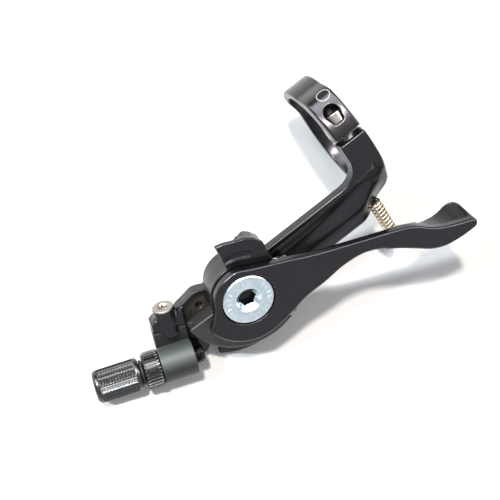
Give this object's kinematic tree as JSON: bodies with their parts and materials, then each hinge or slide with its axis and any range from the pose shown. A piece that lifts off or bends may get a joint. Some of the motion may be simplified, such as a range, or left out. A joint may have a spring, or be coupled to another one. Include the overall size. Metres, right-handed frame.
{
  "type": "thumb shifter",
  "caption": "Handlebar thumb lever on a split clamp ring and arm, with cable drum, release trigger and a knurled barrel adjuster for the cable.",
  "frame": {"origin": "centre of the handlebar clamp bore, in the middle of the ring's width", "axes": "+X along the handlebar from the clamp towards the lever's hub; +Z along the lever's pivot, out of its silver cap; +Y completes the frame, towards the side the lever rests on"},
  "size_m": [0.1069, 0.0498, 0.0483],
  "materials": {
    "black_coat": "satin black coated aluminium casting",
    "zinc_plate": "bright blue-passivated zinc plate",
    "steel_fastener": "nickel-plated steel",
    "bright_steel": "ground steel",
    "spring_wire": "spring steel wire",
    "gold_wire": "gold-passivated spring wire",
    "black_anodised": "black anodised, knurled",
    "grey_anodised": "grey anodised, fine turned",
    "polymer": "glass-filled black polymer",
    "seal_rubber": "black rubber"
  },
  "bodies": {
    "clamp_and_arm": {"arm_body": "black_coat", "clamp_bolt": "steel_fastener", "pivot_post": "bright_steel", "pivot_bolt": "zinc_plate", "cap_washer": "bright_steel", "thrust_washer": "bright_steel", "index_cam": "polymer", "cam_screws": "steel_fastener", "pawl_pin": "bright_steel", "pawl_spring": "spring_wire", "stop_housing": "grey_anodised", "stop_screw": "steel_fastener", "support_spring": "gold_wire", "spring_post": "bright_steel", "spring_glide": "polymer"},
    "lever": {"main_lever": "black_coat", "lever_bush": "polymer", "drum_pins": "bright_steel", "cable_drum": "polymer", "detent_ball": "bright_steel", "detent_spring": "spring_wire", "return_spring": "spring_wire"},
    "trigger": {"release_trigger": "black_coat", "trigger_spring": "spring_wire"},
    "pawl": {"release_pawl": "bright_steel"},
    "barrel_seat": {"barrel_seal": "seal_rubber"},
    "barrel": {"barrel_adjuster": "black_anodised"},
    "lock_ring": {"lock_ring": "black_anodised"}
  },
  "joints": [
    {"name": "lever_swing", "type": "hinge", "parent": "clamp_and_arm", "child": "lever", "pos_m": [0.045, 0.0046, 0.0236], "axis": [0, 0, 1], "range_deg": [0, 42]},
    {"name": "trigger_press", "type": "hinge", "parent": "clamp_and_arm", "child": "trigger", "pos_m": [0.045, 0.0046, 0.0236], "axis": [0, 0, 1], "range_deg": [-8, 0]},
    {"name": "pawl_lift", "type": "hinge", "parent": "clamp_and_arm", "child": "pawl", "pos_m": [0.038, -0.0024, 0.022], "axis": [0, 0, 1], "range_deg": [0, 10]},
    {"name": "barrel_travel", "type": "slide", "parent": "clamp_and_arm", "child": "barrel_seat", "axis": [0.9063, -0.4226, 0], "range_m": [0, 0.0032]},
    {"name": "barrel_turn", "type": "hinge", "parent": "barrel_seat", "child": "barrel", "pos_m": [0.06981, 0.01024, 0.0238], "axis": [0.9063, -0.4226, 0], "range_deg": [0, 1440]},
    {"name": "lock_ring_turn", "type": "hinge", "parent": "clamp_and_arm", "child": "lock_ring", "pos_m": [0.06981, 0.01024, 0.0238], "axis": [0.9063, -0.4226, 0], "continuous": true}
  ],
  "couplings": [
    {"joint": "pawl_lift", "follows": "trigger_press", "ratio": -1.25},
    {"joint": "barrel_turn", "follows": "barrel_travel", "rad_per_m": 7854}
  ]
}
